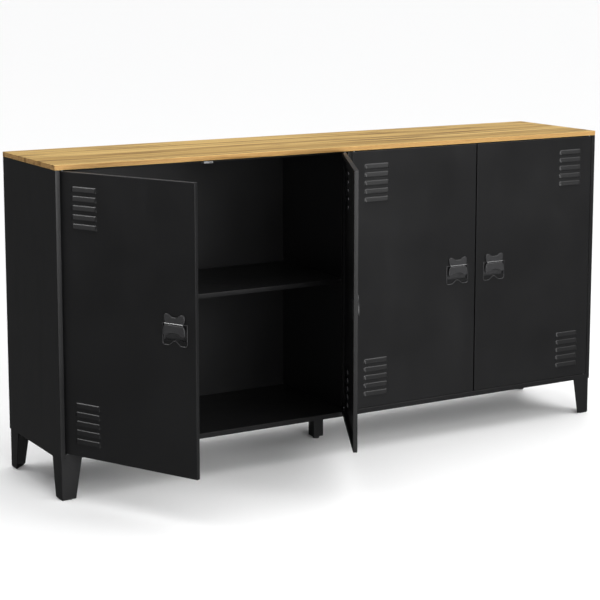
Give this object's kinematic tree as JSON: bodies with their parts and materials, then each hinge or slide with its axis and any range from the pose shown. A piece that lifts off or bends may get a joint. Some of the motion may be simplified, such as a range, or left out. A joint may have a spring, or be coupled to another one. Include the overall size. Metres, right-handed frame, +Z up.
{
  "type": "sideboard",
  "caption": "Long sheet-steel sideboard with hinged louvred doors, shelves, tapered legs and a thin wood top.",
  "frame": {"origin": "on the floor at the middle of the body's footprint, at the centre of the centre leg's glide", "axes": "+X towards the right-hand end seen from the front, +Y towards the back, +Z up"},
  "size_m": [1.6, 0.6729, 0.8],
  "materials": {
    "wood": "satin oak grain laminate",
    "black_steel": "satin black powder coat",
    "black_plastic": "satin black moulding",
    "black_rubber": "matt black",
    "zinc_steel": "zinc plated",
    "grey_plastic": "matt grey"
  },
  "bodies": {
    "body": {"top_board": "wood", "top_panel": "black_steel", "bottom_panel": "black_steel", "side_panel_left": "black_steel", "side_panel_right": "black_steel", "back_panel_left": "black_steel", "back_panel_right": "black_steel", "centre_partition": "black_steel", "shelf_left": "black_steel", "shelf_right": "black_steel", "shelf_clip_left_outer_front": "zinc_steel", "shelf_clip_left_outer_rear": "zinc_steel", "shelf_clip_left_inner_front": "zinc_steel", "shelf_clip_left_inner_rear": "zinc_steel", "shelf_clip_right_outer_front": "zinc_steel", "shelf_clip_right_outer_rear": "zinc_steel", "shelf_clip_right_inner_front": "zinc_steel", "shelf_clip_right_inner_rear": "zinc_steel", "leg_front_left": "black_steel", "leg_rear_left": "black_steel", "leg_front_right": "black_steel", "leg_rear_right": "black_steel", "foot_pad_front_left": "black_rubber", "foot_pad_rear_left": "black_rubber", "foot_pad_front_right": "black_rubber", "foot_pad_rear_right": "black_rubber", "leg_screw_front_left_1": "zinc_steel", "leg_screw_front_left_2": "zinc_steel", "leg_screw_rear_left_1": "zinc_steel", "leg_screw_rear_left_2": "zinc_steel", "leg_screw_front_right_1": "zinc_steel", "leg_screw_front_right_2": "zinc_steel", "leg_screw_rear_right_1": "zinc_steel", "leg_screw_rear_right_2": "zinc_steel", "centre_leg": "black_steel", "centre_leg_plug": "black_rubber", "centre_leg_screw_left": "zinc_steel", "centre_leg_screw_right": "zinc_steel", "hinge_pin_1_lower": "zinc_steel", "hinge_pin_1_upper": "zinc_steel", "hinge_pin_2_lower": "zinc_steel", "hinge_pin_2_upper": "zinc_steel", "hinge_pin_3_lower": "zinc_steel", "hinge_pin_3_upper": "zinc_steel", "hinge_pin_4_lower": "zinc_steel", "hinge_pin_4_upper": "zinc_steel", "magnetic_catch_left": "grey_plastic", "magnetic_catch_right": "grey_plastic"},
    "door_1_leaf": {"door_1": "black_steel", "handle_1": "black_plastic"},
    "door_2_leaf": {"door_2": "black_steel", "handle_2": "black_plastic"},
    "door_3_leaf": {"door_3": "black_steel", "handle_3": "black_plastic"},
    "door_4_leaf": {"door_4": "black_steel", "handle_4": "black_plastic"},
    "glide": {"centre_glide": "black_rubber"}
  },
  "joints": [
    {"name": "door_1_hinge", "type": "hinge", "parent": "body", "child": "door_1_leaf", "pos_m": [-0.7805, -0.1635, 0.45], "axis": [0, 0, -1], "range_deg": [-63.3, 46.7]},
    {"name": "door_2_hinge", "type": "hinge", "parent": "body", "child": "door_2_leaf", "pos_m": [-0.0135, -0.1635, 0.45], "axis": [0, 0, 1], "range_deg": [-62.4, 27.6]},
    {"name": "door_3_hinge", "type": "hinge", "parent": "body", "child": "door_3_leaf", "pos_m": [0.0135, -0.1635, 0.45], "axis": [0, 0, -1], "range_deg": [0, 90]},
    {"name": "door_4_hinge", "type": "hinge", "parent": "body", "child": "door_4_leaf", "pos_m": [0.7805, -0.1635, 0.45], "axis": [0, 0, 1], "range_deg": [0, 110]},
    {"name": "glide_turn", "type": "hinge", "parent": "body", "child": "glide", "pos_m": [0, 0, 0.01], "axis": [0, 0, 1], "continuous": true}
  ]
}
